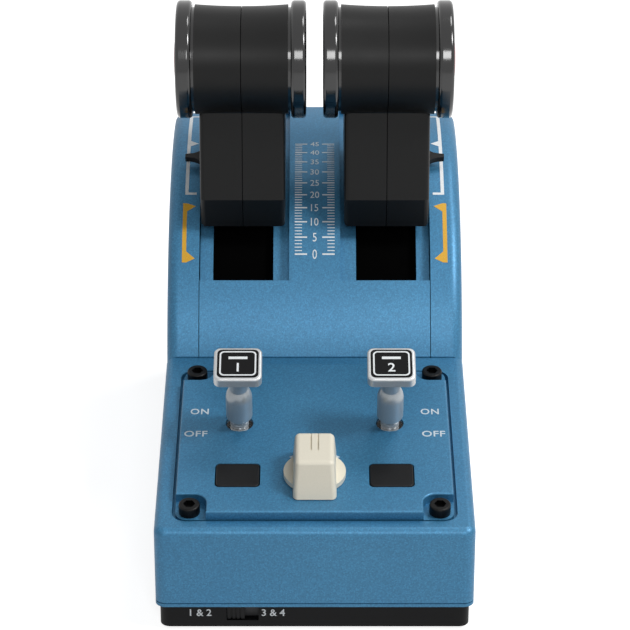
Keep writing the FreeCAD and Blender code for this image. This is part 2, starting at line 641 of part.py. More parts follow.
def toggle_switches():
    """Two toggle switch cases soldered to the board; each bushing's bore takes the lever's ball."""
    cases = []
    for side, sign in SIDES.items():
        body = new_body(f"{side}_toggle_case")
        slab(body, "case", "XY_Plane", oblong(0, 0, 6.5, 7), -D.board_depth, -D.panel_seat)
        drill(body, "well", "XY_Plane", [(0, 0, TOGGLE_BORE)], -8, -D.panel_seat)
        cases.append(on_deck(body, sign * COLUMN, TOGGLE_ALONG))
    return grouped("toggle_switches", cases)


def toggle_collars():
    """Plated bushings that stand in the panel's round holes."""
    collars = []
    for side, sign in SIDES.items():
        body = new_body(f"{side}_toggle_collar")
        drill(body, "tube", "XY_Plane", [(0, 0, D.toggle_hole / 2 - 0.3)], -D.panel_seat, PANEL_TOP - 0.7,
              cut=False)
        drill(body, "bore", "XY_Plane", [(0, 0, TOGGLE_BORE)], -D.panel_seat, PANEL_TOP - 0.7)
        collars.append(on_deck(body, sign * COLUMN, TOGGLE_ALONG))
    return grouped("toggle_collars", collars)


def toggle_bat(side, sign):
    """The turned metal lever: ball, waist, swelling, neck and a tail inside the switch."""
    body = new_body(f"{side}_toggle_bat")
    waist, wide, neck = D.bat_waist / 2, D.bat_diameter / 2, D.bat_neck / 2
    ball = waist - D.shaft_clearance
    neck_up, tail_down = root(ball * ball - 9), root(ball * ball - 1.44)
    profile = [(0, -6), (1.2, -6), (1.2, -tail_down, ball, 1), (3, neck_up), (waist, neck_up + 0.5),
               (wide, 5.2), (wide, 14.6, 9, 1), (neck, 20.1), (neck, D.bat_length), (0, D.bat_length)]
    revolve(body, "turned", "YZ_Plane", profile, "V_Axis")
    return on_deck_pivot(body, sign)


def on_deck_pivot(body, sign):
    return on_deck(body, sign * COLUMN, TOGGLE_ALONG, PANEL_TOP, D.toggle_lean)


def toggle_cap(side, sign):
    """The square key cap across the bat's end."""
    body = new_body(f"{side}_toggle_cap")
    low, high = D.bat_length, D.bat_length + D.cap_thick
    slab(body, "block", "XY_Plane", rounded(0, 0, D.cap_across / 2, D.cap_along / 2, D.cap_round), low, high)
    soften(body, "Fillet", "face_edge", 0.8, lambda edge: edge.BoundBox.ZMin > high.number - 0.01)
    return on_deck_pivot(body, sign)


def rotary_switch():
    """The rotary switch's case on the board."""
    body = new_body("rotary_switch")
    slab(body, "case", "XY_Plane", oblong(0, 0, 6.5, 6.5), -D.board_depth, -D.panel_seat)
    drill(body, "well", "XY_Plane", [(0, 0, D.rotary_shaft / 2 + 0.05)], -9, -D.panel_seat)
    return on_deck(body, 0, ROTARY_ALONG)


def rotary_shaft():
    return on_deck(cylinder("rotary_shaft", D.rotary_shaft / 2, PANEL_TOP + 9.3), 0, ROTARY_ALONG, -8.7)


def rotary_knob():
    """The ivory knob: a round skirt with a tapered bar across it and two grooves in its crest."""
    body = new_body("rotary_knob")
    skirt = PANEL_TOP + 0.3
    drill(body, "skirt", "XY_Plane", [(0, 0, D.disc_diameter / 2)], skirt, skirt + D.disc_thick, cut=False)
    top = PANEL_TOP + D.bar_height
    side_view = [(-D.bar_half_length, skirt), (D.bar_half_length, skirt), (D.bar_top_half, top),
                 (-D.bar_top_half, top)]
    slab(body, "bar", "YZ_Plane", side_view, -D.bar_width / 2, D.bar_width / 2)
    bottom, crest = D.bar_width / 2, D.bar_top_width / 2
    for side, sign in SIDES.items():
        flank = [(sign * bottom, skirt + D.disc_thick), (sign * crest, top), (sign * crest, top + 1),
                 (sign * (bottom + 1), top + 1), (sign * (bottom + 1), skirt + D.disc_thick)]
        slab(body, f"{side}_flank", "XZ_Plane", flank, -D.bar_half_length - 1, D.bar_half_length + 1, cut=True)
    soften(body, "Fillet", "bar_edges", 2.0, lambda edge: edge.BoundBox.ZMax > skirt.number + 3
           and edge.Length > 5)
    for side, sign in SIDES.items():
        centre = sign * D.groove_pitch
        groove = oblong(D.bar_top_half - D.groove_length / 2, top, D.groove_length / 2 + 4, 0.8)
        slab(body, f"{side}_groove", "YZ_Plane", groove, centre - D.bar_groove / 2,
             centre + D.bar_groove / 2, cut=True)
    drill(body, "socket", "XY_Plane", [(0, 0, D.rotary_shaft / 2)], skirt, skirt + 0.3)
    return on_deck(body, 0, ROTARY_ALONG)


def push_button(side, sign):
    """A black key with a retaining flange under the panel."""
    body = new_body(f"{side}_push_button")
    top = PANEL_TOP + D.key_proud
    slab(body, "key", "XY_Plane", rounded(0, 0, D.key_across / 2, D.key_deep / 2, D.key_corner), -4.3, top)
    soften(body, "Fillet", "key_edge", 0.5, lambda edge: edge.BoundBox.ZMin > top.number - 0.01)
    flange = oblong(0, 0, D.key_across / 2 + D.key_flange, D.key_deep / 2 + D.key_flange)
    slab(body, "flange", "XY_Plane", flange, -4.3, -D.panel_seat - D.running_gap)
    return on_deck(body, sign * COLUMN, KEY_ALONG)


def button_switches():
    """Tact switches on the board, one under each push button."""
    high = -4.3 - D.key_travel - D.running_gap
    switches = []
    for side, sign in SIDES.items():
        body = new_body(f"{side}_button_switch")
        slab(body, "case", "XY_Plane", oblong(0, 0, 6, 6), -D.board_depth, high - 1.5)
        drill(body, "plunger", "XY_Plane", [(0, 0, 2)], high - 1.5, high, cut=False)
        switches.append(on_deck(body, sign * COLUMN, KEY_ALONG))
    return grouped("button_switches", switches)


# ---------------------------------------------------------------- inside the base
def main_board():
    body = new_body("main_board")
    across, along, middle = D.controller_width / 2, D.controller_length / 2, -D.controller_back
    under = FLOOR_TOP + D.controller_lift
    slab(body, "board", "XY_Plane", oblong(0, middle, across, along), under, under + D.board_thick)
    slab(body, "controller", "XY_Plane", oblong(0, middle, 6, 6), under + D.board_thick,
         under + D.board_thick + 1.2)
    posts = [(side * (across - 4), middle + end * (along - 4), 2) for side in (-1, 1) for end in (-1, 1)]
    drill(body, "posts", "XY_Plane", posts, FLOOR_TOP, under, cut=False)
    return body


def usb_socket():
    """The lead's inlet in the back wall."""
    body = new_body("usb_socket")
    shell = rounded(0, BASE_TOP + 12, 4.5, 1.65, 1.6)
    slab(body, "flange", "XY_Plane", oblong(0, BASE_TOP + 12, 6, 4), 0, 5)
    slab(body, "mouth", "XY_Plane", shell, 0, 4, cut=True)
    return place(body, (0, BACK, 0), (1, 0, 0), 90)


def slide_switch():
    """The slide switch's case behind the window in the base strip."""
    return block("slide_switch", SLIDE_WIDTH, 5, 6,
                    (D.slide_across - SLIDE_WIDTH / 2, FRONT + D.base_inset + D.wall, FLOOR_TOP))


def slide_knob():
    """The slide switch's ribbed slider, at the left end of its window."""
    body = new_body("slide_knob")
    start = D.slide_across - SLIDE_WIDTH / 2 + D.running_gap
    centre, half = start + D.slide_knob / 2, D.slide_knob / 2
    front = FRONT + D.base_inset + 0.6
    back = FRONT + D.base_inset + D.wall - D.running_gap
    low, high = D.slide_bottom + D.running_gap, BASE_TOP - D.running_gap
    slab(body, "block", "XY_Plane", oblong(centre, (front + back) / 2, half, (back - front) / 2), low, high)
    for number in range(3):
        rib = oblong(start + D.slide_knob * (number + 1) / 4, front, 0.35, 0.5)
        slab(body, f"rib_gap_{number}", "XY_Plane", rib, low, high, cut=True)
    return body


def pivot_frame():
    """Pressed steel frame: a foot and four ears that carry the levers' shaft."""
    body = new_body("pivot_frame")
    foot_top = FLOOR_TOP + D.frame_thick
    front, back = PIVOT_Y - D.frame_front, PIVOT_Y + D.frame_back
    foot = [(-EAR_OUTER, front), (EAR_OUTER, front), (EAR_OUTER, back), (-EAR_OUTER, back)]
    slab(body, "foot", "XY_Plane", foot, FLOOR_TOP, foot_top)
    ear = [(front + 2, foot_top), (back, foot_top), (PIVOT_Y + D.ear_round, D.pivot_height),
           (PIVOT_Y, D.pivot_height + D.ear_round), (PIVOT_Y - D.ear_round, D.pivot_height)]
    starts = (-EAR_OUTER, -D.middle_ear, D.middle_ear - D.ear_thick, EAR_OUTER - D.ear_thick)
    for number, low in enumerate(starts):
        slab(body, f"ear_{number}", "YZ_Plane", ear, low, low + D.ear_thick)
    shaft = [(PIVOT_Y, D.pivot_height, D.shaft_diameter / 2)]
    drill(body, "shaft_holes", "YZ_Plane", shaft, -EAR_OUTER - 1, EAR_OUTER + 1)
    return body


def pivot_shaft():
    return cylinder("pivot_shaft", D.shaft_diameter / 2, EAR_OUTER * 2, (-EAR_OUTER, PIVOT_Y, D.pivot_height),
                    (0, 1, 0), 90)


def detent_sectors():
    """Notched plates beside the hubs, one for each lever, standing on the frame's foot."""
    plates = []
    for side, sign in SIDES.items():
        body = new_body(f"{side}_detent_sector")
        inner = COLUMN - D.detent_reach
        low, high = ordered(sign * inner, sign * (inner + D.detent_thick))
        arc = sector(as_size(13), D.detent_radius, 40, D.detent_end)
        web = [polar(D.detent_radius, 40), polar(as_size(14), D.detent_end),
               (PIVOT_Y + 8, FLOOR_TOP + D.frame_thick), (PIVOT_Y - 14, FLOOR_TOP + D.frame_thick)]
        slab(body, "arc", "YZ_Plane", arc, low, high)
        slab(body, "web", "YZ_Plane", web, low, high)
        notches = [polar(D.roller_radius, angle) + (2.9,) for angle in DETENTS]
        drill(body, "notches", "YZ_Plane", notches, low, high)
        drill(body, "shaft_hole", "YZ_Plane", [(PIVOT_Y, D.pivot_height, D.spacer_diameter / 2)], low, high)
        plates.append(body)
    return grouped("detent_sectors", plates)


def shaft_spacers():
    """Tubes on the shaft between the frame's middle ears and the hubs."""
    tubes = []
    for side, sign in SIDES.items():
        low, high = ordered(sign * D.middle_ear, sign * (HUB_INNER - D.bush_flange - 0.1))
        body = new_body(f"{side}_spacer")
        centre = (PIVOT_Y, D.pivot_height)
        drill(body, "tube", "YZ_Plane", [centre + (D.spacer_diameter / 2,)], low, high, cut=False)
        drill(body, "bore", "YZ_Plane", [centre + (D.shaft_diameter / 2,)], low, high)
        tubes.append(body)
    return grouped("shaft_spacers", tubes)


def sensor_boards():
    """Hall sensor boards on the frame's outer ears, facing the hubs' magnets."""
    boards = []
    for side, sign in SIDES.items():
        low, high = ordered(sign * EAR_OUTER, sign * (EAR_OUTER + 1.4))
        body = new_body(f"{side}_sensor_board")
        slab(body, "board", "YZ_Plane", oblong(PIVOT_Y - 2, D.pivot_height, 8, 7), low, high)
        boards.append(body)
    return grouped("sensor_boards", boards)


# ---------------------------------------------------------------- levers, drawn upright about the pivot
def span(sign, near, far):
    """Two places across the lever, measured outwards from its column, the lower one first."""
    return ordered(sign * as_size(near), sign * as_size(far))


def lever_core(side, sign):
    """Hub on the shaft, stem through the slot, and the barrel that carries the grip's halves."""
    body = new_body(f"{side}_lever_core")
    low, high = span(sign, HUB_INNER - COLUMN, HUB_OUTER - COLUMN)
    drill(body, "hub", "YZ_Plane", [(0, 0, D.hub_diameter / 2)], low, high, cut=False)
    stem = [(-D.stem_depth, 0), (D.stem_depth, 0), (D.stem_depth, GRIP_REACH - 8),
            (-D.stem_depth, GRIP_REACH - 8)]
    slab(body, "stem", "YZ_Plane", stem, -D.stem_half, D.stem_half)
    barrel = GRIP_END - D.shell_wall
    drill(body, "barrel", "YZ_Plane", [(0, GRIP_REACH, D.barrel_outer / 2)], -barrel, barrel, cut=False)
    drill(body, "barrel_bore", "YZ_Plane", [(0, GRIP_REACH, D.barrel_inner / 2)], -barrel, barrel)
    drill(body, "hub_bore", "YZ_Plane", [(0, 0, BUSH_OUTER)], low, high)
    return on_lever(body, sign * COLUMN)


def lever_bushes(side, sign):
    """A flanged bush at the hub's inner end and a plain one at its outer end."""
    body = new_body(f"{side}_flanged_bush")
    inner, outer = HUB_INNER - COLUMN, HUB_OUTER - COLUMN
    drill(body, "sleeve", "YZ_Plane", [(0, 0, BUSH_OUTER)], *span(sign, inner, inner + D.bush_length), cut=False)
    drill(body, "flange", "YZ_Plane", [(0, 0, BUSH_OUTER + 2)], *span(sign, inner - D.bush_flange, inner),
          cut=False)
    bore = D.shaft_diameter / 2 + D.shaft_clearance
    drill(body, "bore", "YZ_Plane", [(0, 0, bore)], *span(sign, inner - D.bush_flange, inner + D.bush_length))
    plain = new_body(f"{side}_plain_bush")
    drill(plain, "sleeve", "YZ_Plane", [(0, 0, BUSH_OUTER)], *span(sign, outer - D.bush_length, outer), cut=False)
    drill(plain, "bore", "YZ_Plane", [(0, 0, bore)], *span(sign, outer - D.bush_length, outer))
    return grouped(f"{side}_lever_bushes", [on_lever(item, sign * COLUMN) for item in (body, plain)])


def lever_magnet(side, sign):
    """The ring magnet on the hub's outer end, read by the sensor board."""
    body = new_body(f"{side}_lever_magnet")
    outer = HUB_OUTER - COLUMN
    drill(body, "ring", "YZ_Plane", [(0, 0, D.magnet_diameter / 2)], *span(sign, outer, outer + D.magnet_thick), cut=False)
    drill(body, "bore", "YZ_Plane", [(0, 0, 6)], *span(sign, outer, outer + D.magnet_thick))
    return on_lever(body, sign * COLUMN)


def detent_roller(side, sign):
    """A roller on a pin in the stem's inner side, running over the notched plate."""
    body = new_body(f"{side}_detent_roller")
    inner, outer = -D.detent_reach - 0.5, -D.detent_reach + D.detent_thick + 0.5
    drill(body, "pin", "YZ_Plane", [(0, D.roller_radius, 1)], *span(sign, inner, -D.stem_half), cut=False)
    drill(body, "roller", "YZ_Plane", [(0, D.roller_radius, 2)], *span(sign, inner, outer), cut=False)
    return on_lever(body, sign * COLUMN)


def arm_outline(inset=0):
    """The arm's side view, user's side first: skirt, shoulder and waist, closed along the crown."""
    bottom = D.crown_radius + D.arm_lift
    front, back, waist = D.arm_front - inset, D.arm_back - inset, D.arm_top_front - inset
    top = GRIP_REACH - 12
    front_z = root(bottom * bottom - front * front)
    back_z = root(bottom * bottom - back * back)
    return [(-front, front_z, bottom, -1), (back, back_z), (back, top), (-waist, top),
            (-waist, ARM_TOP), (-front + 1, ARM_SHOULDER)]


def lever_shell(side, sign, place_name, facing):
    """One moulded half of the lever: half of the arm and half of the waisted grip in a single shell."""
    label = f"{side}_{place_name}_shell"
    out = sign * facing
    wall, near = D.shell_wall, out * D.half_gap
    arm = new_body(label + "_arm")
    outline = draw(arm, "arm_outline", "YZ_Plane", arm_outline(), near)
    extrude(arm, "arm", outline, D.arm_half - D.half_gap, backwards=out < 0)
    face = (out * D.arm_half).number
    soften(arm, "Fillet", "arm_edges", 2.0, lambda edge: abs(edge.CenterOfMass.x - face) < 0.01
           and edge.Curve.TypeId == "Part::GeomLine" and edge.CenterOfMass.z < GRIP_REACH.number - 13)
    soften(arm, "Chamfer", "skirt_corner", 1.2, lambda edge: abs(edge.CenterOfMass.x - face) < 0.01
           and edge.Curve.TypeId == "Part::GeomCircle" and edge.Length > 20)
    cavity = [(-D.arm_front + wall, ARM_SHOULDER - 20), (D.arm_back - wall, ARM_SHOULDER - 20)]
    cavity += arm_outline(wall)[2:]
    slab(arm, "arm_hollow", "YZ_Plane", cavity, *span(out, 0, D.arm_half - wall), cut=True)
    hollow = D.grip_waist / 2 - wall
    drill(arm, "grip_clearance", "YZ_Plane", [(0, GRIP_REACH, hollow)], *span(out, 0, D.arm_half))
    boss = oblong(0, (ARM_SHOULDER + ARM_TOP) / 2, 5, 4)
    slab(arm, "clamp_boss", "YZ_Plane", boss, *span(out, D.stem_half, D.arm_half - wall + 0.2))

    grip = new_body(label + "_grip")
    tall, inner, turn = D.grip_diameter / 2, D.barrel_inner / 2, -1 if out > 0 else 1
    dip = tall - D.grip_waist / 2
    bow = (GRIP_END * GRIP_END + dip * dip) / (dip * 2)
    profile = [(near, hollow), (out * (GRIP_END - wall), hollow), (out * (GRIP_END - wall), inner),
               (out * GRIP_END, inner), (out * GRIP_END, tall, bow, turn), (near, D.grip_waist / 2)]
    revolve(grip, "turned", "XY_Plane", profile, "H_Axis")
    opening = [(-D.arm_top_front + wall, -tall - 1), (D.arm_back - wall, -tall - 1),
               (D.arm_back - wall, -inner), (-D.arm_top_front + wall, -inner)]
    slab(grip, "arm_opening", "YZ_Plane", opening, *span(out, 0, D.arm_half - wall), cut=True)
    place(grip, (0, 0, GRIP_REACH))
    pieces = [arm, grip] if facing < 0 else [arm, grip, pointer_nib(side, out)]
    return on_lever(joined(label, pieces), sign * COLUMN)


def pointer_nib(side, out):
    """The pointer that stands out over the cheek's scale: a flared root and a narrow blunt tip."""
    body = new_body(f"{side}_nib")
    inner, root_end = out * (D.arm_half - D.shell_wall), out * (D.arm_half - 0.2)
    neck, tip = out * (D.arm_half + 4.4), out * (D.arm_half + D.nib_reach)
    wide, narrow, turn = D.nib_root / 2, D.nib_tip / 2, -1 if out > 0 else 1
    outline = [(inner, -wide), (root_end, -wide, 6.2, turn), (neck, -narrow), (tip, -narrow * 0.7),
               (tip, narrow * 0.7), (neck, narrow, 6.2, turn), (root_end, wide), (inner, wide)]
    low = D.crown_radius + D.arm_lift + 0.2
    slab(body, "pointer", "XY_Plane", outline, low, low + D.nib_thick)
    return body


def end_ring(side, sign, place_name, facing):
    """A gloss ring on one end of the grip, standing off by a narrow neck, with a seat for its cap."""
    body = new_body(f"{side}_{place_name}_ring")
    out = sign * facing
    tall, corner = D.ring_diameter / 2, 1.5
    seat = RING_END - D.cap_seat
    turn = -1 if out > 0 else 1
    profile = [(GRIP_END, 14.5), (GRIP_END, D.grip_diameter / 2 - 1.1), (RING_START, D.grip_diameter / 2 - 1.1),
               (RING_START, tall - corner, corner, turn), (RING_START + corner, tall), (RING_END - corner, tall,
                                                                                       corner, turn),
               (RING_END, tall - corner), (RING_END, D.cap_diameter / 2), (seat, D.cap_diameter / 2), (seat, 14.5)]
    profile = [(out * corner_point[0],) + corner_point[1:] for corner_point in profile]
    revolve(body, "turned", "XY_Plane", profile, "H_Axis")
    return on_grip(body, sign)


def on_grip(body, sign):
    """Place a piece drawn about the grip's own axis."""
    lean = 90 - D.lever_angle
    back = PIVOT_Y - GRIP_REACH * sine(lean)
    up = D.pivot_height + GRIP_REACH * cosine(lean)
    return place(body, (sign * COLUMN, back, up), (1, 0, 0), lean)


def end_cap(side, sign, place_name, facing):
    """The disc in a ring's seat; the outer one has the hole for the disconnect button."""
    body = new_body(f"{side}_{place_name}_cap")
    out = sign * facing
    near, far = RING_END - D.cap_seat, RING_END - 0.5
    drill(body, "disc", "YZ_Plane", [(0, 0, D.cap_diameter / 2)], *span(out, near, far), cut=False)
    if facing > 0:
        drill(body, "button_hole", "YZ_Plane", [(0, 0, D.button_diameter / 2 + D.running_gap)],
              *span(out, near, far))
    else:
        drill(body, "dish", "YZ_Plane", [(0, 0, D.cap_diameter / 2 - 3)], *span(out, far - 0.6, far))
    return on_grip(body, sign)


def disconnect_button(side, sign):
    """The red button in the lever's outer end, held in by a flange behind the cap."""
    body = new_body(f"{side}_disconnect_button")
    behind = RING_END - D.cap_seat - D.running_gap
    far = RING_END - 0.5 + D.button_proud
    drill(body, "button", "YZ_Plane", [(0, 0, D.button_diameter / 2)], *span(sign, behind, far), cut=False)
    face = (sign * far).number
    soften(body, "Fillet", "button_edge", 0.9, lambda edge: abs(edge.CenterOfMass.x - face) < 0.01)
    drill(body, "flange", "YZ_Plane", [(0, 0, D.button_diameter / 2 + 2)], *span(sign, behind - 1.6, behind),
          cut=False)
    stem_end = D.button_switch_end + D.button_travel + D.running_gap
    drill(body, "stem", "YZ_Plane", [(0, 0, 2.5)], *span(sign, stem_end, behind - 1.6), cut=False)
    return on_grip(body, sign)


def disconnect_switch(side, sign):
    """The button's switch on a disc that fits the barrel."""
    body = new_body(f"{side}_disconnect_switch")
    drill(body, "disc", "YZ_Plane", [(0, 0, D.barrel_inner / 2)], *span(sign, D.button_switch_end - 9, D.button_switch_end - 7),
          cut=False)
    slab(body, "case", "YZ_Plane", oblong(0, 0, 4.5, 4.5), *span(sign, D.button_switch_end - 7, D.button_switch_end - 1))
    drill(body, "plunger", "YZ_Plane", [(0, 0, 1.8)], *span(sign, D.button_switch_end - 1, D.button_switch_end), cut=False)
    return on_grip(body, sign)


def slot_shutter(side, sign):
    """The curved black strip that rides with the lever and closes the slot in front of it."""
    body = new_body(f"{side}_slot_shutter")
    outer = COVER_INNER - D.shutter_gap
    inner = outer - D.shutter_thick

    def about_hub(radius, angle):
        return (-radius * cosine(angle), radius * sine(angle))

    start, end = 90 - D.shutter_front, 90 + D.shutter_back
    band = [about_hub(outer, start) + (outer, -1), about_hub(outer, end),
            about_hub(inner, end) + (inner, 1), about_hub(inner, start)]
    half = D.slot_half + 1.5
    slab(body, "band", "YZ_Plane", band, -half, half)
    window = oblong(0, 0, D.stem_half, D.stem_depth)
    slab(body, "stem_window", "XY_Plane", window, inner - 3, outer + 1, cut=True)
    return on_lever(body, sign * COLUMN)


# ---------------------------------------------------------------- the whole quadrant
def build():
    pieces = [
        base_tray(), rubber_feet(), base_screws(), deck_housing(), quadrant_cover(), engine_panel(),
        panel_screws(), panel_board(), toggle_switches(), toggle_collars(), rotary_switch(),
        rotary_shaft(), rotary_knob(), button_switches(), main_board(), usb_socket(), slide_switch(),
        slide_knob(), pivot_frame(), pivot_shaft(), detent_sectors(), shaft_spacers(), sensor_boards(),
    ]
    for side, sign in SIDES.items():
        pieces += [cheek(side, sign), toggle_bat(side, sign), toggle_cap(side, sign),
                   push_button(side, sign), lever_core(side, sign), lever_bushes(side, sign),
                   lever_magnet(side, sign), detent_roller(side, sign), slot_shutter(side, sign),
                   disconnect_button(side, sign), disconnect_switch(side, sign)]
        for place_name, facing in (("inboard", -1), ("outboard", 1)):
            pieces += [lever_shell(side, sign, place_name, facing), end_ring(side, sign, place_name, facing),
                       end_cap(side, sign, place_name, facing)]
    return pieces


def check_and_write(pieces):
    """Stop on anything that failed to build; then write one file for each piece."""
    doc.recompute()
    for item in doc.Objects:
        if {"Invalid", "Error"} & set(item.State):
            raise RuntimeError(f"{item.Label} did not build: {item.State}")
    os.makedirs("parts", exist_ok=True)
    for piece in pieces:
        shape = piece.Shape
        if shape.isNull() or not shape.isValid() or not shape.Solids:
            raise RuntimeError(f"{piece.Label} has no valid solid")
        shape.exportStep(f"parts/{piece.Label}.step")
        print(f"{piece.Label}: {len(shape.Solids)} solid(s), {shape.Volume:.1f} mm3")


check_and_write(build())
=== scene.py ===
import json
import math

import bmesh
import bpy
from mathutils import Matrix, Vector


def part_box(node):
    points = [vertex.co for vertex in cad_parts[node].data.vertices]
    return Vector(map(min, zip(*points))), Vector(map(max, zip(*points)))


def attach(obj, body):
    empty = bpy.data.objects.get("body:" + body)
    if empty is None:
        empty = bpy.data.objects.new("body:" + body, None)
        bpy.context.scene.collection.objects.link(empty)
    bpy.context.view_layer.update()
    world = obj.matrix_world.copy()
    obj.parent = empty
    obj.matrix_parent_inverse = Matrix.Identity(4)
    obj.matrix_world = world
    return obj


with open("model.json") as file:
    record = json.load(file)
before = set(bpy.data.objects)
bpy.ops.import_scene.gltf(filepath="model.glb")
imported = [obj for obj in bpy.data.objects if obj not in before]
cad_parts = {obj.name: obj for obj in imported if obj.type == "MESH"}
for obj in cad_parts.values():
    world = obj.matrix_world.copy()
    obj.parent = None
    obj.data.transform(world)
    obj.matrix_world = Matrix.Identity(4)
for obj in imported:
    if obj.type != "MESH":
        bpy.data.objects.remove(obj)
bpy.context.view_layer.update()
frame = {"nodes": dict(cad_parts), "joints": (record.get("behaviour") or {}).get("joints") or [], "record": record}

# Sizes are in millimetres where a name says nothing else; MM turns them into the frame's metres.
MM = 0.001
SIDES = {"left": -1, "right": 1}

# ---------------------------------------------------------------- places read from the frame
JOINTS = {joint["name"]: joint for joint in frame["joints"]}
PIVOT = Vector(JOINTS["left_lever_pivot"]["pos_m"])
CROWN_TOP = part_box("quadrant_cover")[1].z
CROWN_RADIUS = CROWN_TOP - PIVOT.z
COLUMN = -PIVOT.x
DECK_ANCHOR = Vector(JOINTS["rotary_turn"]["pos_m"])
DECK_OUT = Vector(JOINTS["rotary_turn"]["axis"]).normalized()
DECK_UP = Vector((0, DECK_OUT.z, -DECK_OUT.y))
PANEL_RISE = (Vector(JOINTS["left_toggle_flip"]["pos_m"]) - DECK_ANCHOR).dot(DECK_OUT) / MM


def deck_point(across, along, out=0.0):
    """A point on the deck: millimetres across, up the slope from the rotary knob, out of the surface."""
    return Vector((across * MM, 0, 0)) + DECK_ANCHOR + DECK_UP * (along * MM) + DECK_OUT * (out * MM)


def crown_point(across, back, radius=CROWN_RADIUS, lift=0.05):
    """A point on an arc about the levers' axis, given how far back it lies (frame millimetres)."""
    reach = PIVOT.y - back * MM
    height = math.sqrt(max(radius * radius - reach * reach, 0))
    outward = Vector((0, -reach, height)).normalized()
    return Vector((across * MM, back * MM, PIVOT.z + height)) + outward * (lift * MM)


# ---------------------------------------------------------------- colours and node helper
def colour(hex_code, alpha=1.0):
    """sRGB hex to the linear values that shaders use."""
    channels = [int(hex_code[i:i + 2], 16) / 255 for i in (0, 2, 4)]
    linear = [c / 12.92 if c <= 0.04045 else ((c + 0.055) / 1.055) ** 2.4 for c in channels]
    return (*linear, alpha)


def add_node(tree, kind, inputs=None, links=None, **settings):
    """Add one node, set its properties and inputs, and link its inputs from other nodes' outputs."""
    node = tree.nodes.new(kind)
    for name, value in settings.items():
        setattr(node, name, value)
    for name, value in (inputs or {}).items():
        node.inputs[name].default_value = value
    for name, output in (links or {}).items():
        tree.links.new(output, node.inputs[name])
    return node


def new_material(name):
    material = bpy.data.materials.new(name)
    material.use_nodes = True
    tree = material.node_tree
    tree.nodes.clear()
    shader = add_node(tree, "ShaderNodeBsdfPrincipled")
    add_node(tree, "ShaderNodeOutputMaterial", links={"Surface": shader.outputs["BSDF"]})
    return material, tree, shader


def grain_bump(tree, shader, scale, depth, detail=2.0):
    """A fine raised grain: scale in bumps per metre, depth in metres."""
    place = add_node(tree, "ShaderNodeTexCoord")
    noise = add_node(tree, "ShaderNodeTexNoise", {"Scale": scale, "Detail": detail},
                     {"Vector": place.outputs["Object"]})
    bump = add_node(tree, "ShaderNodeBump", {"Distance": depth, "Strength": 0.6},
                    {"Height": noise.outputs["Fac"]})
    tree.links.new(bump.outputs["Normal"], shader.inputs["Normal"])
    return place, noise


def ramp(tree, factor, stops):
    """A colour ramp with its stops given as (place, colour)."""
    node = add_node(tree, "ShaderNodeValToRGB", links={"Fac": factor})
    elements = node.color_ramp.elements
    while len(elements) < len(stops):
        elements.new(0.5)
    for element, (place, value) in zip(elements, stops):
        element.position = place
        element.color = value
    return node


def mixed(tree, factor, first, second):
    """Blend two colours, each a value or another node's output."""
    node = add_node(tree, "ShaderNodeMix", data_type="RGBA")
    for socket, value in ((node.inputs[0], factor), (node.inputs[6], first), (node.inputs[7], second)):
        if hasattr(value, "is_linked"):
            tree.links.new(value, socket)
        else:
            socket.default_value = value
    return node.outputs[2]


# ---------------------------------------------------------------- materials
def metallic_blue_paint():
    """Two-coat metallic lacquer sprayed on ABS: aluminium flakes of about 0.2 mm catch the light one
    by one, drawn at 0.5 mm so that they show, over a satin blue whose tone varies a little in broad clouds."""
    material, tree, shader = new_material("metallic_blue_lacquer")
    place = add_node(tree, "ShaderNodeTexCoord")
    flakes = add_node(tree, "ShaderNodeTexVoronoi", {"Scale": 1 / (0.5 * MM)},
                      {"Vector": place.outputs["Object"]})
    speck = ramp(tree, flakes.outputs["Color"], [(0.0, (0.36, 0.36, 0.36, 1)), (0.55, (0.5, 0.5, 0.5, 1)),
                                                 (1.0, (0.68, 0.68, 0.68, 1))])
    cloud = add_node(tree, "ShaderNodeTexNoise", {"Scale": 1 / (30 * MM), "Detail": 3.0},
                     {"Vector": place.outputs["Object"]})
    base = mixed(tree, cloud.outputs["Fac"], colour("326F95"), colour("3C799D"))
    bright = add_node(tree, "ShaderNodeHueSaturation", {"Hue": 0.5, "Saturation": 1.0, "Fac": 1.0},
                      {"Color": base})
    value = add_node(tree, "ShaderNodeMapRange", {"From Min": 0.3, "From Max": 0.7, "To Min": 0.72,
                                                  "To Max": 1.3}, {"Value": speck.outputs["Color"]})
    tree.links.new(value.outputs["Result"], bright.inputs["Value"])
    tree.links.new(bright.outputs["Color"], shader.inputs["Base Color"])
    rough = add_node(tree, "ShaderNodeMapRange", {"To Min": 0.36, "To Max": 0.5},
                     {"Value": flakes.outputs["Distance"]})
    tree.links.new(rough.outputs["Result"], shader.inputs["Roughness"])
    bump = add_node(tree, "ShaderNodeBump", {"Distance": 0.02 * MM, "Strength": 0.35},
                    {"Height": speck.outputs["Color"]})
    tree.links.new(bump.outputs["Normal"], shader.inputs["Normal"])
    shader.inputs["Metallic"].default_value = 0.35
    return material


